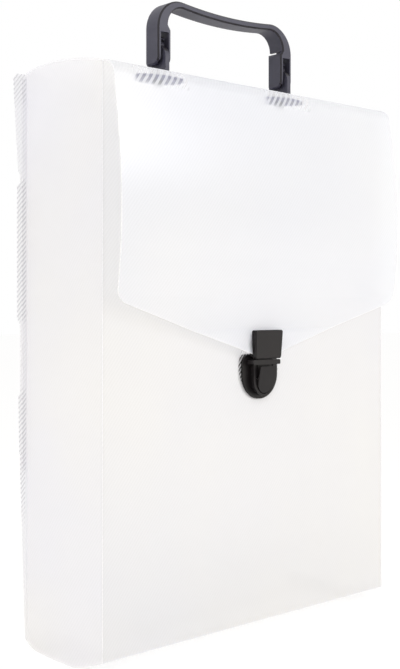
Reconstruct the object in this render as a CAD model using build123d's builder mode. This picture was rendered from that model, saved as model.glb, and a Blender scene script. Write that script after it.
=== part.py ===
from build123d import *
from math import sqrt
import os

os.makedirs("parts", exist_ok=True)

# Tall briefcase for papers, folded from creased plastic sheet. Millimetres, with Z up and the front at -Y.
# The origin lies on the floor, under the middle of the body's width and depth.

# The case
body_width = 241.3
body_depth = 75.5
front_height = 330.0
sheet = 0.8
bottom_drop = 7.5
back_bottom_drop = 4.0
front_ramp = 24.0
front_ramp_belly = 0.7
back_ramp = 15.0
top_rise = 5.5
top_peak_from_front = 46.0
back_top_rise = 4.0
side_bow = 3.0
lid_clearance = 0.3

# The weld margins at the two back corners, with a low tab and two more that are measured from the top
margin_foot = 0.7
margin_width = 4.2
margin_full_height = 105.0
margin_clearance = 2.0
weld_flange = 3.4
low_tab = (112.0, 152.0, 4.8, 5.4)
top_tabs = [(149.5, 65.0, 6.3, 6.3), (61.5, 1.2, 5.6, 9.1)]
tab_chamfer = 3.0

# The glue flaps inside the bottom
glue_flap_width = 26.0
glue_flap_corner = 9.0

# The flap
flap_side_gap = 1.5
flap_shoulder_out = 8.3
flap_shoulder_drop = 8.0
flap_crease_fall = 0.1
flap_belly_out = 13.3
flap_belly_drop = 46.0
flap_lower_out = 12.9
flap_lower_drop = 118.0
flap_seat_out = 6.2
flap_seat_over = 1.0
flap_corner_drop = 131.5
flap_corner_radius = 9.0
flap_point_drop = 167.2
flap_tip_up = 0.4

# The tongue of the lock, on the flap
tongue_width = 24.0
tongue_foot_width = 22.6
tongue_height = 17.6
tongue_thick = 3.8
tongue_lean = 1.0
tongue_corner = 1.4
tongue_edge = 0.6
tongue_rivet_spacing = 14.0
tongue_rivet_up = 10.5
catch_thick = 1.2
catch_width = 23.0
catch_height = 14.0
catch_up = 1.2
catch_corner = 1.5
catch_ear_width = 26.4
catch_ear_height = 3.6
catch_ear_up = 8.9
blade_width = 12.4
blade_reach = 12.0
blade_tip_bevel = 0.4
blade_window_width = 7.2
blade_window_height = 3.2
blade_window_up = 1.9
rivet_radius = 1.4
rivet_head_radius = 2.4
rivet_head_thick = 0.8

# The receiver of the lock, on the front panel
lock_height = 162.1
collar_height = 3.0
collar_width = 23.4
collar_reach = 7.5
collar_corner = 0.8
collar_gap = 0.6
flange_width = 30.2
flange_height = 27.3
flange_rise = 3.0
flange_thick = 1.4
flange_corner = 5.0
shell_width = 18.8
shell_height = 19.2
shell_reach = 5.4
rim_thick = 1.5
groove_depth = 1.0
slot_width = 16.0
slot_front = 6.4
slot_back = 3.9
backing_extra = 0.4
backing_thick = 1.5
backing_corner = 5.2
lock_rivet_spacing = 24.0
lock_rivet_drop = 4.0

# The push button, a D-shaped lever that tips about its foot
button_width = 13.2
button_height = 16.6
button_gap = 0.5
button_top_gap = 1.1
button_proud = 3.4
button_wall = 1.0
button_pocket = 7.8
button_heel = 0.6
button_pivot_up = 3.5
button_pivot_back = 3.2
trunnion_radius = 1.1
trunnion_reach = 0.5
trunnion_fit = 0.1
hook_width = 6.0
hook_front = 3.9
hook_thick = 1.2
hook_tooth = 1.4
hook_fit = 0.4
hook_slope = 1.4
hook_head = 1.6

# The handle, with its heights measured from its pins and its strap
handle_from_front = 32.9
handle_depth = 12.4
handle_width = 117.2
pin_rise = 25.3
pin_radius = 1.8
pin_fit = 0.05
pin_bevel = 0.2
grip_rise = 26.2
grip_sag = 2.2
grip_thick = 4.0
grip_shoulder = 20.5
inner_shoulder = 13.0
grip_bevel = 0.9
leg_width = 10.4
leg_wall = 2.0
leg_reach = 14.3
strap_leg_width = 8.3
leg_front_round = 5.0
leg_back_round = 2.0
cheek_drop = 0.2
cheek_slant = 3.0
relief_gap = 1.6
window_drop = 4.8
hollow_rise = 4.4
hollow_wall = 1.5

# The posts that the handle turns on
post_thick = 3.0
post_arch_radius = 8.6
post_arch_drop = 10.3
post_eye_wall = 2.2
post_fit = 0.2
post_mouth = 3.0
foot_length = 20.0
foot_width = 8.4
foot_thick = 1.2
stem_radius = 3.0
stem_past = 0.6
base_plate_length = 34.0
base_plate_depth = 27.0
base_plate_thick = 1.8

half = body_width / 2
front = -body_depth / 2
back = body_depth / 2
crease_low = bottom_drop
crease_top = bottom_drop + front_height
back_low = crease_low - back_bottom_drop
back_top = crease_top + back_top_rise
wide = body_width
tall = crease_top + 2 * top_rise
collar_top = lock_height + bottom_drop
collar_low = collar_top - collar_height
tongue_low = collar_top + collar_gap
flap_tip = tongue_low + flap_tip_up
seat_y = front - flap_seat_out
catch_y = seat_y + sheet
handle_y = front + handle_from_front
pin_height = crease_top + pin_rise
grip_top = pin_height + grip_rise
leg_bottom = pin_height - leg_reach
outer = handle_width / 2
leg_inner = outer - leg_width
leg_x = outer - leg_width / 2


def case_profile(lift=0.0, drop=0.0):
    """Side view of the closed case, with its floor lifted or its top dropped."""
    with BuildSketch() as profile:
        with BuildLine():
            ramp_mid = (front + front_ramp / 2, lift + crease_low / 2 * (1 - front_ramp_belly / 4))
            ThreePointArc((front, crease_low + lift), ramp_mid, (front + front_ramp, lift))
            Line((front + front_ramp, lift), (back - back_ramp, lift))
            TangentArc((back - back_ramp, lift), (back, back_low + lift), tangent=(1, 0))
            Line((back, back_low + lift), (back, back_top - drop))
            peak = (front + top_peak_from_front, crease_top + top_rise - drop)
            ThreePointArc((back, back_top - drop), peak, (front, crease_top - drop))
            Line((front, crease_top - drop), (front, crease_low + lift))
        make_face()
    return profile.sketch_local


def case_plan(inset=0.0):
    """Top view of the case between its front and back, with the bowed sides set in."""
    with BuildSketch() as plan:
        with BuildLine():
            for side in (-1, 1):
                edge = side * (half - inset)
                ThreePointArc((edge, front), (edge + side * side_bow, 0), (edge, back))
            Line((-half + inset, front), (half - inset, front))
            Line((-half + inset, back), (half - inset, back))
        make_face()
    return plan.sketch_local


def shield(width, height, top):
    """Front view of a shield: a straight top and sides that run into a round foot."""
    with BuildSketch() as outline:
        radius = width / 2
        foot = top - height
        with BuildLine():
            Polyline((-radius, foot + radius), (-radius, top), (radius, top), (radius, foot + radius))
            ThreePointArc((radius, foot + radius), (0, foot), (-radius, foot + radius))
        make_face()
    return outline.sketch_local


def strap_shoulder(start_x, start_z, reach):
    """Where the arc that rounds the strap's shoulder, tangent to its sag, meets the leg's upright side."""
    fall = grip_sag / start_x
    radius = (reach - start_x) / (1 + 2 * fall / (1 + fall ** 2))
    return reach, start_z - radius * (1 - fall ** 2) / (1 + fall ** 2)


# The front panel, holed for the rivets of the lock
flange_top = collar_top + flange_rise
lock_rivets_at = [(-lock_rivet_spacing / 2, collar_top - lock_rivet_drop),
                  (lock_rivet_spacing / 2, collar_top - lock_rivet_drop)]
with BuildPart() as front_panel:
    with BuildSketch(Plane.XZ.offset(-front)):
        panel_top = crease_top - sheet - lid_clearance
        with Locations((0, (panel_top + crease_low + sheet) / 2)):
            Rectangle(body_width, panel_top - crease_low - sheet)
        with Locations(*lock_rivets_at):
            Circle(rivet_radius, mode=Mode.SUBTRACT)
    extrude(amount=-sheet)
front_panel.part.label = "front_panel"
export_step(front_panel.part, "parts/front_panel.step")

# The back panel, with the weld margins and their tabs outside the two corners
weld_tabs = [low_tab] + [(back_top - low, back_top - high, *widths) for low, high, *widths in top_tabs]
with BuildPart() as back_panel:
    with BuildSketch(Plane.XZ.offset(-back)):
        panel_top = back_top - sheet - lid_clearance
        with Locations((0, (panel_top + back_low + sheet) / 2)):
            Rectangle(body_width, panel_top - back_low - sheet)
        for side in (-1, 1):
            with BuildLine():
                Polyline((side * half, back_low + sheet), (side * (half + margin_foot), back_low + sheet),
                         (side * (half + margin_width), margin_full_height),
                         (side * (half + margin_width), back_top - margin_clearance),
                         (side * half, back_top - margin_clearance), close=True)
            make_face()
            for low, high, low_width, high_width in weld_tabs:
                with BuildLine():
                    Polyline((side * half, low), (side * (half + low_width - tab_chamfer / 2), low),
                             (side * (half + low_width), low + tab_chamfer),
                             (side * (half + high_width), high - tab_chamfer),
                             (side * (half + high_width - tab_chamfer), high), (side * half, high), close=True)
                make_face()
    extrude(amount=sheet)
back_panel.part.label = "back_panel"
export_step(back_panel.part, "parts/back_panel.step")

# The bottom panel, bent down in front and behind a flat middle
with BuildPart() as bottom_panel:
    with BuildSketch(Plane.XY):
        add(case_plan())
    extrude(amount=crease_top / 2)
    with BuildSketch(Plane.YZ):
        add(case_profile())
        add(case_profile(lift=sheet), mode=Mode.SUBTRACT)
    extrude(amount=wide, both=True, mode=Mode.INTERSECT)
bottom_panel.part.label = "bottom_panel"
export_step(bottom_panel.part, "parts/bottom_panel.step")

# The two bowed side panels, each with an out-turned flange that is welded to the back margin
for side, name in ((-1, "side_panel_left"), (1, "side_panel_right")):
    with BuildPart() as side_panel:
        with BuildSketch(Plane.XY):
            add(case_plan())
            add(case_plan(sheet), mode=Mode.SUBTRACT)
            with Locations((side * half, 0)):
                Rectangle(4 * side_bow, body_depth - 2 * sheet, mode=Mode.INTERSECT)
            with Locations((side * (half + weld_flange / 2 - sheet / 2), back - 1.5 * sheet)):
                Rectangle(weld_flange + sheet, sheet)
        extrude(amount=tall)
        with BuildSketch(Plane.YZ):
            add(case_profile(lift=sheet, drop=sheet + lid_clearance))
        extrude(amount=wide, both=True, mode=Mode.INTERSECT)
        with BuildSketch(Plane.XZ.offset(-back)):
            with Locations((side * (half + weld_flange), 0)):
                Rectangle(2 * (weld_flange - margin_foot), 2 * margin_full_height)
            with Locations((side * (half + weld_flange), tall)):
                Rectangle(2 * weld_flange, 2 * (tall - back_top + 2 * margin_clearance))
        extrude(amount=2 * sheet, mode=Mode.SUBTRACT)
    side_panel.part.label = name
    export_step(side_panel.part, "parts/" + name + ".step")

# The glue flaps, folded in from the side panels and laid on the bottom panel
for side, name in ((-1, "bottom_glue_flap_left"), (1, "bottom_glue_flap_right")):
    with BuildPart() as glue_flap:
        with BuildSketch(Plane.XY):
            add(case_plan(sheet))
            with Locations((side * (half + side_bow - (glue_flap_width + side_bow) / 2), 0)):
                Rectangle(glue_flap_width + side_bow, body_depth - 4 * sheet, mode=Mode.INTERSECT)
        extrude(amount=crease_top / 2)
        inner_edges = glue_flap.edges().filter_by(Axis.Z).group_by(Axis.X)[0 if side > 0 else -1]
        chamfer(inner_edges, glue_flap_corner)
        with BuildSketch(Plane.YZ):
            add(case_profile(lift=sheet))
            add(case_profile(lift=2 * sheet), mode=Mode.SUBTRACT)
        extrude(amount=wide, both=True, mode=Mode.INTERSECT)
    glue_flap.part.label = name
    export_step(glue_flap.part, "parts/" + name + ".step")

# The top panel, arched over the side panels and holed for the stems of the handle posts
with BuildPart() as top_panel:
    with BuildSketch(Plane.XY.offset(crease_top / 2)):
        add(case_plan())
    extrude(amount=crease_top)
    with BuildSketch(Plane.YZ):
        add(case_profile())
        add(case_profile(drop=sheet), mode=Mode.SUBTRACT)
    extrude(amount=wide, both=True, mode=Mode.INTERSECT)
    with BuildSketch(Plane.XY):
        with Locations((-leg_x, handle_y), (leg_x, handle_y)):
            Circle(stem_radius)
    extrude(amount=tall, mode=Mode.SUBTRACT)
top_panel.part.label = "top_panel"
export_step(top_panel.part, "parts/top_panel.step")

# The flap: one bowed sheet with round lower corners, cut to a shallow point behind the tongue
tongue_rivets_at = [(-tongue_rivet_spacing / 2, tongue_low + tongue_rivet_up),
                    (tongue_rivet_spacing / 2, tongue_low + tongue_rivet_up)]
with BuildPart() as flap:
    with BuildSketch(Plane.YZ):
        with BuildLine():
            start = (front - lid_clearance, crease_top - sheet / 2)
            shoulder = (front - flap_shoulder_out, crease_top - flap_shoulder_drop)
            belly = (front - flap_belly_out, crease_top - flap_belly_drop)
            lower = (front - flap_lower_out, crease_top - flap_lower_drop)
            seat = (seat_y + sheet / 2, tongue_low + tongue_height + flap_seat_over)
            first = TangentArc(start, shoulder, tangent=(-1, -flap_crease_fall))
            second = TangentArc(first @ 1, belly, tangent=first % 1)
            third = TangentArc(second @ 1, lower, tangent=second % 1)
            TangentArc(third @ 1, seat, tangent=third % 1)
            Line(seat, (seat[0], flap_tip))
        trace(line_width=sheet)
    extrude(amount=half - flap_side_gap, both=True)
    with BuildSketch(Plane.XZ) as flap_front:
        with BuildLine():
            edge = half - flap_side_gap
            corner = crease_top - flap_corner_drop
            point = crease_top - flap_point_drop
            tip_half = edge * (flap_tip - point) / (corner - point)
            Polyline((-edge, tall), (edge, tall), (edge, corner), (tip_half, flap_tip),
                     (-tip_half, flap_tip), (-edge, corner), close=True)
        make_face()
        fillet(flap_front.vertices().group_by(Axis.Y)[1], flap_corner_radius)
    extrude(amount=2 * body_depth, both=True, mode=Mode.INTERSECT)
    with BuildSketch(Plane.XZ):
        with Locations(*tongue_rivets_at):
            Circle(rivet_radius)
    extrude(amount=2 * body_depth, mode=Mode.SUBTRACT)
flap.part.label = "flap"
export_step(flap.part, "parts/flap.step")

# The tongue plate in front of the flap, a little narrower and thinner at its foot
with BuildPart() as tongue_plate:
    with BuildSketch(Plane.XZ.offset(-seat_y)) as plate_front:
        with BuildLine():
            Polyline((-tongue_width / 2, tongue_low + tongue_height),
                     (tongue_width / 2, tongue_low + tongue_height),
                     (tongue_foot_width / 2, tongue_low), (-tongue_foot_width / 2, tongue_low), close=True)
        make_face()
        fillet(plate_front.vertices(), tongue_corner)
    extrude(amount=tongue_thick)
    with BuildSketch(Plane.YZ):
        with BuildLine():
            Polyline((seat_y, tongue_low), (seat_y, tongue_low + tongue_height),
                     (seat_y - tongue_thick, tongue_low + tongue_height),
                     (seat_y - tongue_thick + tongue_lean, tongue_low), close=True)
        make_face()
    extrude(amount=tongue_width, both=True, mode=Mode.INTERSECT)
    chamfer(tongue_plate.faces().sort_by(Axis.Y)[0].edges(), tongue_edge)
    with BuildSketch(Plane.XZ.offset(-seat_y)):
        with Locations(*tongue_rivets_at):
            Circle(rivet_radius)
    extrude(amount=tongue_thick / 2, mode=Mode.SUBTRACT)
tongue_plate.part.label = "tongue_plate"
export_step(tongue_plate.part, "parts/tongue_plate.step")

# The catch plate behind the flap, whose blade drops into the collar and has a window for the hook
with BuildPart() as catch_plate:
    catch_middle = tongue_low + catch_up + catch_height / 2
    blade_low = tongue_low - blade_reach
    window_low = blade_low + blade_window_up
    with BuildSketch(Plane.XZ.offset(-catch_y)):
        with Locations((0, catch_middle)):
            RectangleRounded(catch_width, catch_height, catch_corner)
        with Locations((0, tongue_low + catch_ear_up)):
            Rectangle(catch_ear_width, catch_ear_height)
        with Locations((0, (catch_middle + blade_low) / 2)):
            Rectangle(blade_width, catch_middle - blade_low)
        with Locations((0, window_low + blade_window_height / 2)):
            Rectangle(blade_window_width, blade_window_height, mode=Mode.SUBTRACT)
        with Locations(*tongue_rivets_at):
            Circle(rivet_radius, mode=Mode.SUBTRACT)
    extrude(amount=-catch_thick)
    chamfer(catch_plate.edges().filter_by(Axis.X).group_by(Axis.Z)[0], blade_tip_bevel)
catch_plate.part.label = "catch_plate"
export_step(catch_plate.part, "parts/catch_plate.step")

# The two rivets that clamp the tongue, the flap and the catch plate together
with BuildPart() as tongue_rivets:
    with BuildSketch(Plane.XZ.offset(-seat_y + tongue_thick / 2)):
        with Locations(*tongue_rivets_at):
            Circle(rivet_radius)
    extrude(amount=-(tongue_thick / 2 + sheet + catch_thick))
    with BuildSketch(Plane.XZ.offset(-catch_y - catch_thick)):
        with Locations(*tongue_rivets_at):
            Circle(rivet_head_radius)
    extrude(amount=-rivet_head_thick)
tongue_rivets.part.label = "tongue_rivets"
export_step(tongue_rivets.part, "parts/tongue_rivets.step")

# The lock housing: a flange, a grooved shell with its rim around a pocket, and the slotted collar on top
button_top = collar_low - button_top_gap
button_foot = button_top - button_height
pivot = (front - button_pivot_back, button_foot + button_pivot_up)
pocket_radius = button_width / 2 + button_gap
pocket_chord = sqrt(pocket_radius ** 2 - (pocket_radius - button_pivot_up - button_gap) ** 2)
trunnion_half = pocket_chord + trunnion_reach
with BuildPart() as lock_housing:
    with BuildSketch(Plane.XZ.offset(-front)) as flange_front:
        add(shield(flange_width, flange_height, flange_top))
        fillet(flange_front.vertices().group_by(Axis.Y)[-1], flange_corner)
    extrude(amount=flange_thick)
    with BuildSketch(Plane.XZ.offset(-front)):
        add(shield(shell_width - 2 * groove_depth, shell_height - groove_depth, collar_low))
    extrude(amount=shell_reach)
    with BuildSketch(Plane.XZ.offset(-front + shell_reach - rim_thick)):
        add(shield(shell_width, shell_height, collar_low))
    extrude(amount=rim_thick)
    with BuildSketch(Plane.XZ.offset(-front)):
        with Locations((0, collar_top - collar_height / 2)):
            RectangleRounded(collar_width, collar_height, collar_corner)
    extrude(amount=collar_reach)
    with BuildSketch(Plane.XZ.offset(-front)):
        add(shield(2 * pocket_radius, button_top_gap + button_height + button_gap, collar_low))
    extrude(amount=shell_reach, mode=Mode.SUBTRACT)
    with BuildSketch(Plane.XY.offset(collar_top)):
        with Locations((0, front - (slot_front + slot_back) / 2)):
            Rectangle(slot_width, slot_front - slot_back)
    extrude(amount=-collar_height, mode=Mode.SUBTRACT)
    with Locations((0, pivot[0], pivot[1])):
        Cylinder(trunnion_radius + trunnion_fit, 2 * (trunnion_half + trunnion_fit), rotation=(0, 90, 0),
                 mode=Mode.SUBTRACT)
    with BuildSketch(Plane.XZ.offset(-front)):
        with Locations(*lock_rivets_at):
            Circle(rivet_radius)
    extrude(amount=flange_thick, mode=Mode.SUBTRACT)
lock_housing.part.label = "lock_housing"
export_step(lock_housing.part, "parts/lock_housing.step")

# The push button: a D-shaped lever, open at the top for the blade, with the hook behind it
with BuildPart() as lock_button:
    with BuildSketch(Plane.YZ):
        with BuildLine():
            lean = button_proud / button_height
            floor = button_top - button_pocket
            face_y = front - shell_reach
            hook_y = front - hook_front
            pocket_y = face_y - lean * (floor - button_foot) + button_wall
            Polyline((face_y, button_foot), (face_y - button_proud, button_top),
                     (face_y - button_proud + button_wall, button_top), (pocket_y, floor),
                     (hook_y + hook_thick, floor), (hook_y + hook_thick, pivot[1]),
                     (pivot[0] + trunnion_radius, button_foot + button_heel), (pivot[0], button_foot),
                     close=True)
        make_face()
    extrude(amount=button_width / 2, both=True)
    with BuildSketch(Plane.XZ.offset(-front)):
        add(shield(button_width, button_height, button_top))
    extrude(amount=2 * shell_reach, mode=Mode.INTERSECT)
    with BuildSketch(Plane.YZ):
        with BuildLine():
            tooth_low = window_low + hook_fit
            tooth_high = window_low + blade_window_height - hook_fit
            Polyline((hook_y, floor - hook_thick), (hook_y, tooth_low), (hook_y - hook_tooth, tooth_low),
                     (hook_y - hook_tooth, tooth_high - hook_slope), (hook_y, tooth_high),
                     (hook_y, tooth_high + hook_head), (hook_y + hook_thick, tooth_high + hook_head),
                     (hook_y + hook_thick, floor - hook_thick), close=True)
        make_face()
    extrude(amount=hook_width / 2, both=True)
    with Locations((0, pivot[0], pivot[1])):
        Cylinder(trunnion_radius, 2 * trunnion_half, rotation=(0, 90, 0))
lock_button.part.label = "lock_button"
export_step(lock_button.part, "parts/lock_button.step")

# The backing plate inside the front panel, and the two rivets that clamp the housing to it
with BuildPart() as lock_backing:
    with BuildSketch(Plane.XZ.offset(-front - sheet)) as backing_front:
        add(shield(flange_width + 2 * backing_extra, flange_height + 2 * backing_extra,
                   flange_top + backing_extra))
        fillet(backing_front.vertices().group_by(Axis.Y)[-1], backing_corner)
        with Locations(*lock_rivets_at):
            Circle(rivet_radius, mode=Mode.SUBTRACT)
    extrude(amount=-backing_thick)
lock_backing.part.label = "lock_backing"
export_step(lock_backing.part, "parts/lock_backing.step")

with BuildPart() as lock_rivets:
    with BuildSketch(Plane.XZ.offset(-front + flange_thick)):
        with Locations(*lock_rivets_at):
            Circle(rivet_radius)
    extrude(amount=-(flange_thick + sheet + backing_thick))
    with BuildSketch(Plane.XZ.offset(-front - sheet - backing_thick)):
        with Locations(*lock_rivets_at):
            Circle(rivet_head_radius)
    extrude(amount=-rivet_head_thick)
lock_rivets.part.label = "lock_rivets"
export_step(lock_rivets.part, "parts/lock_rivets.step")

# The handle: a sagging strap grip whose legs open into forks around the posts
with BuildPart() as handle_grip:
    strap_inner = outer - strap_leg_width
    under = grip_top - grip_thick
    outer_shoulder = (outer - grip_shoulder, grip_top)
    under_shoulder = (strap_inner - inner_shoulder, under)
    outer_end = strap_shoulder(*outer_shoulder, outer)
    under_end = strap_shoulder(*under_shoulder, strap_inner)
    cheek_high = under_end[1] - cheek_drop
    cheek_low = cheek_high - relief_gap
    window_top = cheek_high - window_drop
    hollow_top = cheek_high + hollow_rise
    with BuildSketch(Plane.XZ.offset(-handle_y)):
        with BuildLine():
            Polyline((leg_inner, leg_bottom), (outer, leg_bottom), outer_end)
            TangentArc(outer_end, outer_shoulder, tangent=(0, 1))
            TangentArc((0, grip_top - grip_sag), outer_shoulder, tangent=(1, 0))
            TangentArc((0, under - grip_sag), under_shoulder, tangent=(1, 0))
            TangentArc(under_end, under_shoulder, tangent=(0, 1))
            Polyline(under_end, (strap_inner, cheek_high), (leg_inner, cheek_high - cheek_slant),
                     (leg_inner, leg_bottom))
            mirror(about=Plane.YZ)
        make_face()
    extrude(amount=handle_depth / 2, both=True)
    fillet(handle_grip.edges().filter_by(Axis.X).group_by(Axis.Z)[0].group_by(Axis.Y)[0], leg_front_round)
    fillet(handle_grip.edges().filter_by(Axis.X).group_by(Axis.Z)[0].group_by(Axis.Y)[-1], leg_back_round)
    chamfer(handle_grip.faces().sort_by(Axis.Y)[0].edges(), grip_bevel)
    fork_gap = leg_width - 2 * leg_wall
    with BuildSketch(Plane.XZ.offset(-handle_y)):
        with Locations((-leg_x, (window_top + leg_bottom) / 2), (leg_x, (window_top + leg_bottom) / 2)):
            Rectangle(fork_gap, window_top - leg_bottom)
    extrude(amount=handle_depth, both=True, mode=Mode.SUBTRACT)
    with BuildSketch(Plane.XZ.offset(-handle_y + handle_depth / 2 - leg_wall)):
        for side in (-1, 1):
            with Locations((side * leg_x, (cheek_high + leg_bottom) / 2)):
                Rectangle(fork_gap, cheek_high - leg_bottom)
            with Locations((side * leg_inner, (cheek_high + cheek_low) / 2)):
                Rectangle(2 * leg_wall, relief_gap)
            hollow_width = strap_leg_width - leg_wall - hollow_wall
            with Locations((side * (outer - leg_wall - hollow_width / 2), (hollow_top + leg_bottom) / 2)):
                Rectangle(hollow_width, hollow_top - leg_bottom)
    extrude(amount=-handle_depth, mode=Mode.SUBTRACT)
    with Locations((-leg_x, handle_y, pin_height), (leg_x, handle_y, pin_height)):
        Cylinder(pin_radius + pin_fit, leg_width - leg_wall, rotation=(0, 90, 0), mode=Mode.SUBTRACT)
handle_grip.part.label = "handle_grip"
export_step(handle_grip.part, "parts/handle_grip.step")

# The hinge pins, one across each fork
for side, name in ((-1, "hinge_pin_left"), (1, "hinge_pin_right")):
    with BuildPart() as hinge_pin:
        with Locations((side * leg_x, handle_y, pin_height)):
            Cylinder(pin_radius, leg_width - leg_wall - 2 * pin_fit, rotation=(0, 90, 0))
        chamfer(hinge_pin.edges().filter_by(GeomType.CIRCLE), pin_bevel)
    hinge_pin.part.label = name
    export_step(hinge_pin.part, "parts/" + name + ".step")

# The posts: an arched lug with a snap eye for the pin, on a long foot, and a stem through the top panel
for side, name in ((-1, "handle_post_left"), (1, "handle_post_right")):
    with BuildPart() as handle_post:
        with BuildSketch(Plane.YZ.offset(side * leg_x)):
            arch_z = pin_height - post_arch_drop
            with Locations((handle_y, arch_z)):
                Circle(post_arch_radius)
            with Locations((handle_y, (arch_z + crease_top) / 2)):
                Rectangle(2 * post_arch_radius, arch_z - crease_top)
            with Locations((handle_y, pin_height)):
                Circle(pin_radius + post_fit + post_eye_wall)
                Circle(pin_radius + post_fit, mode=Mode.SUBTRACT)
            with Locations((handle_y - post_arch_radius / 2, pin_height)):
                Rectangle(post_arch_radius, post_mouth, mode=Mode.SUBTRACT)
        extrude(amount=post_thick / 2, both=True)
        with BuildSketch(Plane.XY.offset(crease_top)):
            with Locations((side * leg_x, handle_y)):
                SlotOverall(foot_length, foot_width, rotation=90)
        extrude(amount=top_rise + foot_thick)
        with BuildSketch(Plane.YZ):
            add(case_profile())
        extrude(amount=wide, both=True, mode=Mode.SUBTRACT)
        stem_low = crease_top - sheet - base_plate_thick - stem_past
        with BuildSketch(Plane.XY.offset(stem_low)):
            with Locations((side * leg_x, handle_y)):
                Circle(stem_radius)
        extrude(amount=crease_top + top_rise + foot_thick - stem_low)
    handle_post.part.label = name
    export_step(handle_post.part, "parts/" + name + ".step")

# The oval base plates under the top panel, bent to its arch
for side, name in ((-1, "base_plate_left"), (1, "base_plate_right")):
    with BuildPart() as base_plate:
        with BuildSketch(Plane.XY):
            with Locations((side * leg_x, handle_y)):
                Ellipse(base_plate_length / 2, base_plate_depth / 2)
                Circle(stem_radius, mode=Mode.SUBTRACT)
        extrude(amount=tall)
        with BuildSketch(Plane.YZ):
            add(case_profile(drop=sheet))
            add(case_profile(drop=sheet + base_plate_thick), mode=Mode.SUBTRACT)
        extrude(amount=wide, both=True, mode=Mode.INTERSECT)
    base_plate.part.label = name
    export_step(base_plate.part, "parts/" + name + ".step")
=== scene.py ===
import math

import bmesh
import bpy
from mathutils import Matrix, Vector


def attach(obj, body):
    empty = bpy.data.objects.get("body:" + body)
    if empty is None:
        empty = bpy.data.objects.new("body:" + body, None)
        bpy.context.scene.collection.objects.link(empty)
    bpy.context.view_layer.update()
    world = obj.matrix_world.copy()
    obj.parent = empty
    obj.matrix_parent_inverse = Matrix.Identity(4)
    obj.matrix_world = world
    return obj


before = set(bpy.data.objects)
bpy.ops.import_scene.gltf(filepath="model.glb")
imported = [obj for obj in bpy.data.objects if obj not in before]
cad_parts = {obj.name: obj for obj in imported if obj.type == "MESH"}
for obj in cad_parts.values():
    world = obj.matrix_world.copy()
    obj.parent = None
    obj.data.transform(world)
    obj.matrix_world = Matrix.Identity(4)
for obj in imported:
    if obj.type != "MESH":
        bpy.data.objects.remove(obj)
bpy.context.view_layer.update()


# ---------------------------------------------------------------------------------------------------------------
# The folded blank: front, bottom and back panel in one piece of clear polypropylene sheet, extruded 0.8 mm thick.
# A roller presses fine slanting ribs into it, which make it frosted: white on the crests and clearer in between.
# The back panel has margins beyond its folds, to which the side panels are welded.
# ---------------------------------------------------------------------------------------------------------------


def linear(colour):
    """An sRGB hex colour as the linear numbers that a shader takes."""
    parts = [int(colour[i:i + 2], 16) / 255 for i in (1, 3, 5)]
    return [c / 12.92 if c <= 0.04045 else ((c + 0.055) / 1.055) ** 2.4 for c in parts] + [1.0]


def lay(tree, kind, sockets=None, **settings):
    """Adds one node with its settings. sockets holds a value for a socket, or the output that feeds it."""
    added = tree.nodes.new("ShaderNode" + kind)
    for name, value in settings.items():
        setattr(added, name, value)
    for name, value in (sockets or {}).items():
        if isinstance(value, bpy.types.NodeSocket):
            tree.links.new(value, added.inputs[name])
        else:
            added.inputs[name].default_value = value
    return added


def start_material(name):
    """An empty material, with its tree and its output node."""
    made = bpy.data.materials.new(name)
    made.use_nodes = True
    made.node_tree.nodes.clear()
    return made, made.node_tree, lay(made.node_tree, "OutputMaterial")


def clouded(tree, place, size, dark, light, full=0.7):
    """Noise with clouds of that size, and the colour that drifts with it from dark to light."""
    noise = lay(tree, "TexNoise", {"Vector": place, "Scale": 1 / size, "Detail": 2.0}).outputs["Fac"]
    tone = lay(tree, "ValToRGB", {"Fac": noise})
    for stop, at, colour in zip(tone.color_ramp.elements, (0.3, full), (dark, light)):
        stop.position = at
        stop.color = linear(colour)
    return noise, tone.outputs["Color"]


RAMP_TOP = 0.35  # the height at which every ramp ends, in metres


def by_height(tree, place, stops):
    """A value that goes with the height, from its stops as (height in metres, value)."""
    height = lay(tree, "SeparateXYZ", {"Vector": place}).outputs["Z"]
    share = lay(tree, "Math", {0: height, 1: 1 / RAMP_TOP}, operation="MULTIPLY").outputs[0]
    made = lay(tree, "ValToRGB", {"Fac": share})
    for number, (at, value) in enumerate(stops):
        stop = made.color_ramp.elements[number] if number < 2 else made.color_ramp.elements.new(at / RAMP_TOP)
        stop.position = at / RAMP_TOP
        stop.color = (value, value, value, 1.0)
    return made.outputs["Color"]


# The ribs slant at 52 degrees on the standing panels, and they run on round every fold of the blank.
ACROSS, DOWN = math.sin(math.radians(52)), -math.cos(math.radians(52))
UPRIGHT = (ACROSS, 0, DOWN)  # from rib to rib on the front and on the flap
RIB_PITCH = 0.0018  # crest to crest, as counted on the weld margins
RIB_HEIGHT = 0.00003
RIB_STRAY, STRAY_SIZE = 0.35 * RIB_PITCH, 0.02  # how far a rib strays from a straight line, and over what length
VALLEY_COVER, CREST_COVER = 0.765, 0.79  # the share of the light that the sheet scatters
FROST_GRAIN, FROST_DEPTH = 0.0006, 0.00004  # the roller's matt grain, drawn three times as coarse as it is
SLACK_SIZE, SLACK_DEPTH = 0.12, 0.002  # the sheet is a little uneven


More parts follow.
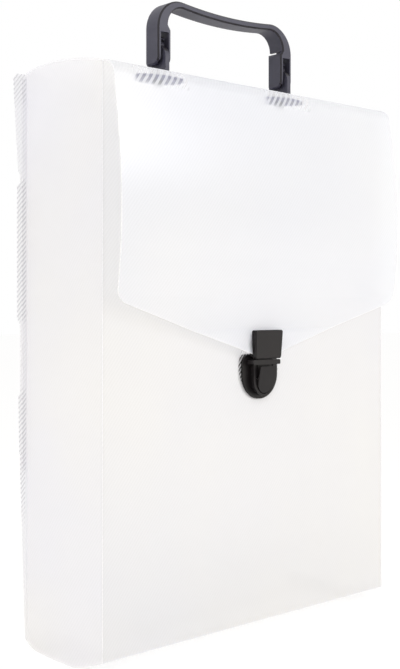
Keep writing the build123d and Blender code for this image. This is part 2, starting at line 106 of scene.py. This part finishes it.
def ribbed_polypropylene(name, across, tones=("#f5f5f9", "#f9f8f6"), windows=None, welds=None, relief=None):
    """Extruded polypropylene, IOR 1.49, with slanting ribs. across points from rib to rib in the sheet's own run.
    The crests scatter and look white, and the valleys let a little of what lies behind show. Half of the scattered
    light goes on through the sheet. Only the face that is looked at scatters, so a sheet counts as one layer.
    windows lowers the cover where the sheet is clear, welds marks the welded margins, and relief gives the height
    and the depth of a soft bend or sag that the flat sheet shows."""
    made, tree, out = start_material(name)
    place = lay(tree, "TexCoord").outputs["Object"]
    along = lay(tree, "VectorMath", {0: place, 1: across}, operation="DOT_PRODUCT").outputs["Value"]
    waver = lay(tree, "TexNoise", {"Vector": place, "Scale": 1 / STRAY_SIZE, "Detail": 1.0}).outputs["Fac"]
    wobble = lay(tree, "Math", {0: waver, 1: RIB_STRAY, 2: along}, operation="MULTIPLY_ADD").outputs[0]
    phase = lay(tree, "Math", {0: wobble, 1: 2 * math.pi / RIB_PITCH}, operation="MULTIPLY").outputs[0]
    wave = lay(tree, "Math", {0: phase}, operation="SINE").outputs[0]
    rib = lay(tree, "MapRange", {"Value": wave, "From Min": -1.0, "From Max": 1.0}).outputs[0]
    cover = lay(tree, "MapRange", {"Value": rib, "To Min": VALLEY_COVER, "To Max": CREST_COVER}).outputs[0]
    if windows:
        cover = windows(tree, place, along, cover)
    leaving = lay(tree, "NewGeometry").outputs["Backfacing"]
    entering = lay(tree, "MapRange", {"Value": leaving, "To Min": 1.0, "To Max": 0.0}).outputs[0]
    scattering = lay(tree, "Math", {0: cover, 1: entering}, operation="MULTIPLY").outputs[0]
    cloud, colour = clouded(tree, place, SLACK_SIZE, *tones)
    if welds:
        colour = welds(tree, place, colour)
    grain = lay(tree, "TexNoise", {"Vector": place, "Scale": 1 / FROST_GRAIN, "Detail": 2.0}).outputs["Fac"]
    rough = lay(tree, "MapRange", {"Value": grain, "To Min": 0.26, "To Max": 0.35}).outputs[0]
    bumps = [(cloud, 0.5, SLACK_DEPTH), (rib, 0.15, RIB_HEIGHT), (grain, 0.1, FROST_DEPTH)]
    if relief:
        rise, depth = relief(tree, place)
        bumps.insert(0, (rise, 1.0, depth))
    normal = {}
    for rise, strength, depth in bumps:
        bump = lay(tree, "Bump", {"Height": rise, "Strength": strength, "Distance": depth, **normal})
        normal = {"Normal": bump.outputs["Normal"]}
    sent_back = lay(tree, "BsdfPrincipled", {
        "Base Color": colour, "Roughness": rough, "IOR": 1.49, "Specular IOR Level": 1.0, **normal,
    })
    sent_on = lay(tree, "BsdfTranslucent", {"Color": colour, **normal})
    scattered = lay(tree, "MixShader", {0: 0.5, 1: sent_back.outputs[0], 2: sent_on.outputs[0]})
    clear = lay(tree, "BsdfTransparent")
    sheet = lay(tree, "MixShader", {0: scattering, 1: clear.outputs[0], 2: scattered.outputs[0]})
    tree.links.new(sheet.outputs[0], out.inputs["Surface"])
    return made


def striped_cover(tree, along, pitch, clear, full):
    """The cover in stripes of that pitch along the ribs: dark parts close behind show through the clear ones. The
    stripes are as coarse as they have to be to show."""
    turns = lay(tree, "Math", {0: along, 1: 2 * math.pi / pitch}, operation="MULTIPLY").outputs[0]
    swell = lay(tree, "Math", {0: turns}, operation="SINE").outputs[0]
    return lay(tree, "MapRange", {
        "Value": swell, "From Min": -0.3, "From Max": 0.3, "To Min": clear, "To Max": full,
    }).outputs[0]


SPOT_ASIDE = 0.0518  # how far each of the two spots where the base plates show lies from the middle between them
SPOT_HALF, SPOT_FADE = 0.0180, 0.0025  # half the width of a spot, and the width of its soft end


def before_plates(tree, place, middle, stops):
    """1 in the two spots in front of the base plates, where the press thins the blank, and 0 elsewhere. middle is
    the middle between the spots, and stops give their run over the height."""
    sideways = lay(tree, "SeparateXYZ", {"Vector": place}).outputs["X"]
    shifted = lay(tree, "Math", {0: sideways, 1: middle}, operation="SUBTRACT").outputs[0]
    aside = lay(tree, "Math", {0: shifted}, operation="ABSOLUTE").outputs[0]
    centred = lay(tree, "Math", {0: aside, 1: SPOT_ASIDE}, operation="SUBTRACT").outputs[0]
    off = lay(tree, "Math", {0: centred}, operation="ABSOLUTE").outputs[0]
    inner = lay(tree, "MapRange", {
        "Value": off, "From Min": SPOT_HALF + SPOT_FADE, "From Max": SPOT_HALF,
    }).outputs[0]
    return lay(tree, "Math", {0: by_height(tree, place, stops), 1: inner}, operation="MULTIPLY").outputs[0]


LOCK_MIDDLE = (0.0, -0.0378, 0.1655)
LOCK_CLEAR, LOCK_FROSTED = 0.0170, 0.0178  # from the lock's middle to the clear sheet's end and the frost's start


def front_windows(tree, place, along, cover):
    """The front panel is clear where the lock clamps it, in stripes, and where it is thinned before the plates."""
    away = lay(tree, "VectorMath", {0: place, 1: LOCK_MIDDLE}, operation="DISTANCE").outputs["Value"]
    clamped = lay(tree, "MapRange", {"Value": away, "From Min": LOCK_FROSTED, "From Max": LOCK_CLEAR}).outputs[0]
    striped = striped_cover(tree, along, RIB_PITCH, clear=0.12, full=0.74)
    cover = lay(tree, "Mix", {"Factor": clamped, "A": cover, "B": striped}).outputs["Result"]
    thin = before_plates(tree, place, middle=-0.0270,
                         stops=[(0.3276, 0.0), (0.3284, 1.0), (0.3362, 1.0), (0.3367, 0.0)])
    return lay(tree, "Mix", {"Factor": thin, "A": cover, "B": 0.05}).outputs["Result"]


PANEL_HEIGHT, SAG = 0.33, 0.010
LOW_CREASE_TURN = -0.14  # the sag's wave starts at the lower crease, 7.5 mm up


def sagging(tree, place):
    """A standing panel is sunk 10 mm at its middle, as thin sheet sags between its folds."""
    height = lay(tree, "SeparateXYZ", {"Vector": place}).outputs["Z"]
    turn = lay(tree, "Math", {0: height, 1: 2 * math.pi / PANEL_HEIGHT, 2: LOW_CREASE_TURN},
               operation="MULTIPLY_ADD").outputs[0]
    return lay(tree, "Math", {0: turn}, operation="COSINE").outputs[0], SAG / 2


WELD_OUT, WELD_BACK, WELD_RIM = 0.1215, 0.0345, 0.0004  # where the welded margins begin, outward and backward
# How dark the lines of the margins are, over the height: strong on the tabs, weak in the cuts between them.
STREAKS = [(0.07, 0.1), (0.09, 1.0), (0.150, 1.0), (0.155, 0.2), (0.192, 0.2), (0.196, 1.0), (0.275, 1.0),
           (0.279, 0.25), (0.319, 0.3), (0.328, 0.9), (0.345, 0.9)]


def welded_margins(tree, place, colour):
    """The welded margins have slanting grey lines, one to a rib, where the ribs of both layers are fused."""
    spot = lay(tree, "SeparateXYZ", {"Vector": place})
    out_by = lay(tree, "Math", {0: spot.outputs["X"]}, operation="ABSOLUTE").outputs[0]
    beyond = lay(tree, "MapRange", {
        "Value": out_by, "From Min": WELD_OUT, "From Max": WELD_OUT + WELD_RIM,
    }).outputs[0]
    behind = lay(tree, "MapRange", {
        "Value": spot.outputs["Y"], "From Min": WELD_BACK, "From Max": WELD_BACK + WELD_RIM,
    }).outputs[0]
    margin = lay(tree, "Math", {0: beyond, 1: behind}, operation="MULTIPLY").outputs[0]
    slant = lay(tree, "VectorMath", {0: place, 1: UPRIGHT}, operation="DOT_PRODUCT").outputs["Value"]
    run = lay(tree, "Math", {0: slant, 1: 2 * math.pi / RIB_PITCH}, operation="MULTIPLY").outputs[0]
    swing = lay(tree, "Math", {0: run}, operation="SINE").outputs[0]
    line = lay(tree, "MapRange", {"Value": swing, "From Min": -0.1, "From Max": 0.6}).outputs[0]
    marked = lay(tree, "Math", {0: margin, 1: line}, operation="MULTIPLY").outputs[0]
    shade = lay(tree, "Math", {0: marked, 1: by_height(tree, place, STREAKS)}, operation="MULTIPLY").outputs[0]
    return lay(tree, "Mix", {"Factor": shade, 6: colour, 7: linear("#dadade")}, data_type="RGBA").outputs[2]


def dress(material, *nodes):
    """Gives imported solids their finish, in every material slot."""
    for node in nodes:
        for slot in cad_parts[node].material_slots:
            slot.material = material


# The front's tones are a little darker than the other panels': painted shade.
front_sheet = ribbed_polypropylene("extruded_polypropylene_front", UPRIGHT, tones=("#f3f3f4", "#f8f7f4"),
                                   windows=front_windows, relief=sagging)
bottom_sheet = ribbed_polypropylene("extruded_polypropylene_bottom", (ACROSS, -DOWN, 0))
back_sheet = ribbed_polypropylene("extruded_polypropylene_back", (ACROSS, 0, -DOWN), welds=welded_margins)
dress(front_sheet, "front_panel")
dress(bottom_sheet, "bottom_panel")
dress(back_sheet, "back_panel")


def drawn_white(name):
    """Polypropylene drawn white by folding or shearing: a fold or a cut edge scatters all light and shows as a
    fine bright line. It is finely pitted, so it has no gloss."""
    made, tree, out = start_material(name)
    place = lay(tree, "TexCoord").outputs["Object"]
    pits, colour = clouded(tree, place, 0.0008, "#ebebee", "#f6f6f7", full=0.6)
    rough = lay(tree, "MapRange", {"Value": pits, "To Min": 0.45, "To Max": 0.65}).outputs[0]
    bump = lay(tree, "Bump", {"Height": pits, "Strength": 0.4, "Distance": 0.00005}).outputs["Normal"]
    skin = lay(tree, "BsdfPrincipled", {"Base Color": colour, "Roughness": rough, "IOR": 1.49, "Normal": bump})
    tree.links.new(skin.outputs["BSDF"], out.inputs["Surface"])
    return made


fold_white = drawn_white("creased_polypropylene_white")


def edge_line(name, points, body, thickness=0.0006):
    """A rounded line along a fold or a cut edge, as a tube of that thickness, riding on its body."""
    route = bpy.data.curves.new(name, "CURVE")
    route.dimensions = "3D"
    route.bevel_depth = thickness / 2
    route.bevel_resolution = 2
    route.use_fill_caps = True
    run = route.splines.new("POLY")
    run.points.add(len(points) - 1)
    for point, spot in zip(run.points, points):
        point.co = (*spot, 1.0)
    drawn = bpy.data.objects.new(name, route)
    bpy.context.scene.collection.objects.link(drawn)
    bpy.context.view_layer.update()
    mesh = bpy.data.meshes.new_from_object(drawn.evaluated_get(bpy.context.evaluated_depsgraph_get()))
    bpy.data.objects.remove(drawn)
    bpy.data.curves.remove(route)
    for face in mesh.polygons:
        face.use_smooth = True
    mesh.materials.clear()
    mesh.materials.append(fold_white)
    line = bpy.data.objects.new(name, mesh)
    bpy.context.scene.collection.objects.link(line)
    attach(line, body)


# The case's half width, its front and back, and the heights of its creases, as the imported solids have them.
HALF = 0.12065
FRONT, BACK = -0.03775, 0.03775
CREASE_LOW, CREASE_TOP = 0.0075, 0.3375
BACK_LOW, BACK_TOP = 0.0035, 0.3415
FRONT_LINE, BACK_LINE = FRONT + 0.0002, BACK - 0.0005  # the lines lie just inside the sheet's outer face
for side, name in ((-1, "left"), (1, "right")):
    edge_line("front_fold_" + name,
              [(side * HALF, FRONT_LINE, CREASE_LOW), (side * HALF, FRONT_LINE, CREASE_TOP)], "case_body")
edge_line("front_bottom_fold", [(-HALF, FRONT_LINE, CREASE_LOW), (HALF, FRONT_LINE, CREASE_LOW)], "case_body")
edge_line("back_bottom_fold", [(-HALF, BACK_LINE, BACK_LOW), (HALF, BACK_LINE, BACK_LOW)], "case_body")


# ---------------------------------------------------------------------------------------------------------------
# The two side panels, cut from the same sheet. Each is bowed out a little, and its rear flange is welded to the
# margin of the back panel. The glue flaps turn in from the sides over the bottom.
# ---------------------------------------------------------------------------------------------------------------

left_sheet = ribbed_polypropylene("extruded_polypropylene_left_side", (ACROSS, -ACROSS, DOWN),
                                  welds=welded_margins, relief=sagging)
right_sheet = ribbed_polypropylene("extruded_polypropylene_right_side", (ACROSS, ACROSS, DOWN),
                                   welds=welded_margins, relief=sagging)
dress(left_sheet, "side_panel_left")
dress(right_sheet, "side_panel_right")
dress(bottom_sheet, "bottom_glue_flap_left", "bottom_glue_flap_right")


# ---------------------------------------------------------------------------------------------------------------
# The top panel and the flap, which end the blank. The creases at the back and at the front of the top are pressed
# thin, and the flap is cut to a shallow V.
# ---------------------------------------------------------------------------------------------------------------


PLATE_STRIPE = 0.0035  # the stripes in which the base plates show, a little coarser than in the photograph


def flap_windows(tree, place, along, cover):
    """The flap is thinned before the base plates, which show through it in stripes."""
    striped = striped_cover(tree, along, PLATE_STRIPE, clear=0.36, full=0.79)
    thin = before_plates(tree, place, middle=-0.0335,
                         stops=[(0.3262, 0.0), (0.3270, 1.0), (0.3362, 1.0), (0.3367, 0.0)])
    return lay(tree, "Mix", {"Factor": thin, "A": cover, "B": striped}).outputs["Result"]


SEAT_BEND = 0.0045  # how deep the bend is in all


def soft_seat(tree, place):
    """The flap meets its seat at the lock in a soft bend."""
    return by_height(tree, place, [(0.1865, 1.0), (0.1895, 0.92), (0.2080, 0.3), (0.2300, 0.0)]), SEAT_BEND


top_sheet = ribbed_polypropylene("extruded_polypropylene_top", (ACROSS, DOWN, 0))
# The flap's tones are bluer and brighter than the other panels': a painted cool highlight.
flap_sheet = ribbed_polypropylene("extruded_polypropylene_flap", UPRIGHT, tones=("#f5f7fc", "#f9fafc"),
                                  windows=flap_windows, relief=soft_seat)
dress(top_sheet, "top_panel")
dress(flap_sheet, "flap")

FLAP_EDGE = HALF - 0.0015  # the flap is a little narrower than the case
edge_line("top_front_crease", [(-FLAP_EDGE, FRONT - 0.0001, CREASE_TOP - 0.0001),
                               (FLAP_EDGE, FRONT - 0.0001, CREASE_TOP - 0.0001)], "top")
edge_line("top_back_crease", [(-HALF, BACK_LINE, BACK_TOP - 0.0004), (HALF, BACK_LINE, BACK_TOP - 0.0004)],
          "case_body")


def tangent_arc(start, heading, end, steps):
    """Points of the arc that leaves start along heading and reaches end, and its heading there."""
    across = (-heading[1], heading[0])
    chord = (end[0] - start[0], end[1] - start[1])
    radius = (chord[0] ** 2 + chord[1] ** 2) / (2 * (chord[0] * across[0] + chord[1] * across[1]))
    middle = (start[0] + across[0] * radius, start[1] + across[1] * radius)
    first = math.atan2(start[1] - middle[1], start[0] - middle[0])
    last = math.atan2(end[1] - middle[1], end[0] - middle[0])
    sweep = (last - first + math.pi) % (2 * math.pi) - math.pi
    run = [first + sweep * step / steps for step in range(steps + 1)]
    size = abs(radius)
    spots = [(middle[0] + size * math.cos(a), middle[1] + size * math.sin(a)) for a in run]
    way = 1 if sweep > 0 else -1
    return spots, (-way * math.sin(last), way * math.cos(last))


# The flap's side profile is the solids' own: arcs from the crease to the seat at the lock, each tangent to the
# last, and then straight down to the tip of the V.
SHEET = 0.0008
FLAP_BENDS = [(0.0083, 0.008), (0.0133, 0.046), (0.0129, 0.118)]  # how far out, and how far below the crease
SEAT = (-0.04395 + SHEET / 2, 0.1888)
TIP_Z = 0.1706
LEAVE_SLOPE = 0.1  # the flap leaves its crease forward, falling this much for each unit
side_view = [(FRONT - 0.0003, CREASE_TOP - SHEET / 2)]
heading = (-1 / math.hypot(1, LEAVE_SLOPE), -LEAVE_SLOPE / math.hypot(1, LEAVE_SLOPE))
for bend in [(FRONT - out, CREASE_TOP - drop) for out, drop in FLAP_BENDS] + [SEAT]:
    spots, heading = tangent_arc(side_view[-1], heading, bend, 10)
    side_view += spots[1:]
side_view.append((SEAT[0], TIP_Z))


def flap_depth(z):
    """Where the flap stands, front to back, at a height below its crease."""
    for (y0, z0), (y1, z1) in zip(side_view, side_view[1:]):
        if z1 <= z <= z0:
            return y0 + (y1 - y0) * (z0 - z) / max(z0 - z1, 1e-9)
    return side_view[-1][0]


# The sheared edge, drawn for one side and mirrored: down the side, round the corner and along the V to its tip.
CORNER_Z, POINT_Z = CREASE_TOP - 0.1315, CREASE_TOP - 0.1672  # where the sides of the V start, and where they meet
CORNER_ROUND = 0.009
CORNER_STEPS, V_STEPS = 8, 30
lean = math.atan2(CORNER_Z - POINT_Z, FLAP_EDGE)
reach = CORNER_ROUND * math.tan((math.pi / 2 - lean) / 2)
outline = [(FLAP_EDGE, z) for y, z in side_view if z > CORNER_Z + reach]
for step in range(CORNER_STEPS + 1):
    turned = (math.pi / 2 - lean) * step / CORNER_STEPS
    outline.append((FLAP_EDGE - CORNER_ROUND * (1 - math.cos(turned)),
                    CORNER_Z + reach - CORNER_ROUND * math.sin(turned)))
v_x, v_z = outline[-1]
tip_x = FLAP_EDGE * (TIP_Z - POINT_Z) / (CORNER_Z - POINT_Z)
outline += [(v_x + (tip_x - v_x) * step / V_STEPS, v_z + (TIP_Z - v_z) * step / V_STEPS)
            for step in range(1, V_STEPS + 1)]
whole = [(-x, z) for x, z in outline] + [(x, z) for x, z in reversed(outline)]
edge_line("flap_cut_edge", [(x, flap_depth(z), z) for x, z in whole], "flap", thickness=SHEET)


# ---------------------------------------------------------------------------------------------------------------
# The push lock: tongue plate and catch on the flap, housing and button on the front panel, backing plate behind
# it, and the rivets. Injection-moulded black ABS with a fine spark-eroded grain.
# ---------------------------------------------------------------------------------------------------------------

DRIFT_SIZE = 0.015  # the moulded colour is a little uneven
CHAMFER_FACING, CHAMFER_SPREAD = -0.707, 0.16  # how far forward the chamfers face, and how near to that counts


def moulded_abs(name, dark, light, roughness, grain_size, grain_depth, sheen=0.4, painted_chamfer_shade=None):
    """Moulded ABS, IOR 1.53: a fine eroded grain breaks the gloss up into a satin sheen. The last argument is a
    darker colour painted on the chamfers that slant forward: painted shade, as these chamfers lie in shadow."""
    made, tree, out = start_material(name)
    place = lay(tree, "TexCoord").outputs["Object"]
    grain = lay(tree, "TexNoise", {"Vector": place, "Scale": 1 / grain_size, "Detail": 3.0}).outputs["Fac"]
    colour = clouded(tree, place, DRIFT_SIZE, dark, light)[1]
    # Painted shade: faces that slant forward like the chamfers are painted darker.
    if painted_chamfer_shade:
        facing = lay(tree, "SeparateXYZ", {"Vector": lay(tree, "TexCoord").outputs["Normal"]}).outputs["Y"]
        shaded_chamfer = lay(tree, "Math", {0: facing, 1: CHAMFER_FACING, 2: CHAMFER_SPREAD},
                      operation="COMPARE").outputs[0]
        colour = lay(tree, "Mix", {"Factor": shaded_chamfer, 6: colour, 7: linear(painted_chamfer_shade)}, data_type="RGBA").outputs[2]
    rough = lay(tree, "MapRange", {
        "Value": grain, "To Min": roughness - 0.08, "To Max": roughness + 0.08,
    }).outputs[0]
    bump = lay(tree, "Bump", {"Height": grain, "Strength": 0.4, "Distance": grain_depth}).outputs["Normal"]
    skin = lay(tree, "BsdfPrincipled", {
        "Base Color": colour, "Roughness": rough, "IOR": 1.53, "Specular IOR Level": sheen, "Normal": bump,
    })
    tree.links.new(skin.outputs["BSDF"], out.inputs["Surface"])
    return made


lock_black = moulded_abs("moulded_abs_lock_black", "#161314", "#1b1819", 0.48, 0.0005, 0.00003, sheen=0.22)
dress(lock_black, "tongue_plate", "catch_plate", "tongue_rivets")
dress(lock_black, "lock_housing", "lock_button", "lock_backing", "lock_rivets")


# ---------------------------------------------------------------------------------------------------------------
# The handle with its pins and the two posts: moulded in a slightly bluer black, with a smoother face than the
# lock's. The oval base plates under the top panel are black too; their deep blue is painted light, the blue cast
# of the light that the frosted sheet scatters in front of them.
# ---------------------------------------------------------------------------------------------------------------

# The handle's forward-slanting chamfers get a painted shade.
handle_black = moulded_abs("moulded_abs_handle_blue_black", "#3c3b48", "#444350", 0.46, 0.0008, 0.00004,
                           painted_chamfer_shade="#17131a")
# Painted light: the black plates are coloured deep blue for the blue cast that the frosted sheet scatters over
# them.
plate_black = moulded_abs("moulded_abs_base_plate_black", "#28286a", "#303074", 0.45, 0.0008, 0.00004)
dress(handle_black, "handle_grip", "hinge_pin_left", "hinge_pin_right", "handle_post_left", "handle_post_right")
dress(plate_black, "base_plate_left", "base_plate_right")


# ---------------------------------------------------------------------------------------------------------------
# The studio: a plain pale floor, an even white surround and soft lamps at the front and at the left.
# ---------------------------------------------------------------------------------------------------------------


def seen_directly(tree):
    """1 where the camera, a gloss or a clear surface looks at the studio, and 0 where it lights the case."""
    path = lay(tree, "LightPath")
    by_camera_or_gloss = lay(tree, "Math", {0: path.outputs["Is Camera Ray"], 1: path.outputs["Is Glossy Ray"]},
                             operation="MAXIMUM").outputs[0]
    return lay(tree, "Math", {0: by_camera_or_gloss, 1: path.outputs["Is Transmission Ray"]},
               operation="MAXIMUM").outputs[0]


FLOOR_REACH = 6.0  # from the case to each edge of the floor
FLOOR_GLOW = 0.8  # the share of the floor that looks plain white, and the rest takes the case's shadow
bench = bmesh.new()
bmesh.ops.create_grid(bench, x_segments=1, y_segments=1, size=FLOOR_REACH)
floor_mesh = bpy.data.meshes.new("studio_floor")
bench.to_mesh(floor_mesh)
bench.free()
floor = bpy.data.objects.new("studio_floor", floor_mesh)
bpy.context.scene.collection.objects.link(floor)
paper, tree, out = start_material("matt_white_paper")
matt_white = lay(tree, "BsdfDiffuse", {"Color": linear("#f8f5f0")})
bright = lay(tree, "Emission", {"Color": linear("#ffffff"), "Strength": 1.08})
share = lay(tree, "Math", {0: seen_directly(tree), 1: FLOOR_GLOW}, operation="MULTIPLY")
both = lay(tree, "MixShader", {0: share.outputs[0], 1: matt_white.outputs[0], 2: bright.outputs[0]})
tree.links.new(both.outputs[0], out.inputs["Surface"])
floor_mesh.materials.append(paper)

surround = bpy.data.worlds.new("studio_surround")
surround.use_nodes = True
tree = surround.node_tree
tree.nodes.clear()
level = lay(tree, "MapRange", {"Value": seen_directly(tree), "To Min": 0.66, "To Max": 1.0})
glow = lay(tree, "Background", {"Color": linear("#ffffff"), "Strength": level.outputs[0]})
lay(tree, "OutputWorld", {"Surface": glow.outputs[0]})
bpy.context.scene.world = surround


def soft_box(name, place, aim, size, watts, colour):
    """A square soft lamp at place, turned to aim."""
    light = bpy.data.lights.new(name, "AREA")
    light.shape = "SQUARE"
    light.size = size
    light.energy = watts
    light.color = linear(colour)[:3]
    lamp = bpy.data.objects.new(name, light)
    lamp.location = place
    lamp.rotation_euler = (Vector(aim) - Vector(place)).to_track_quat("-Z", "Y").to_euler()
    bpy.context.scene.collection.objects.link(lamp)


# The key and the side fill come from above, one small lamp draws the sheen on the flap's bend, and two low ones
# brighten the feet of the front and of the left side.
soft_box("key", (-0.7, -1.4, 1.4), (0, 0, 0.15), 0.8, 3.4, "#fafbff")
soft_box("side_fill", (-1.7, -0.1, 1.5), (-0.12, 0, 0.15), 0.8, 9.0, "#fcfcff")
soft_box("flap_sheen", (0.34, -0.68, 0.56), (-0.09, -0.05, 0.28), 0.2, 1.6, "#fbfbff")
soft_box("low_front", (0.42, -0.52, 0.09), (0.02, -0.04, 0.06), 0.3, 0.6, "#fff6ea")
soft_box("low_side", (-0.75, 0.0, 0.08), (-0.12, 0, 0.07), 0.3, 0.9, "#fff6ea")


# ---------------------------------------------------------------------------------------------------------------
# The camera: level, at the case's mid height, 0.7 m to its front left.
# ---------------------------------------------------------------------------------------------------------------

lens = bpy.data.cameras.new("camera")
lens.sensor_fit = "VERTICAL"
lens.sensor_height = 36.0
lens.lens = 58.55
lens.shift_y = -0.0435
lens.clip_start = 0.05
lens.clip_end = 50.0
camera = bpy.data.objects.new("camera", lens)
camera.location = (-0.4797, -0.5130, 0.2029)
camera.rotation_euler = (math.radians(90), 0, math.radians(-42.187))
bpy.context.scene.collection.objects.link(camera)
bpy.context.scene.camera = camera
bpy.context.scene.view_settings.view_transform = "Standard"
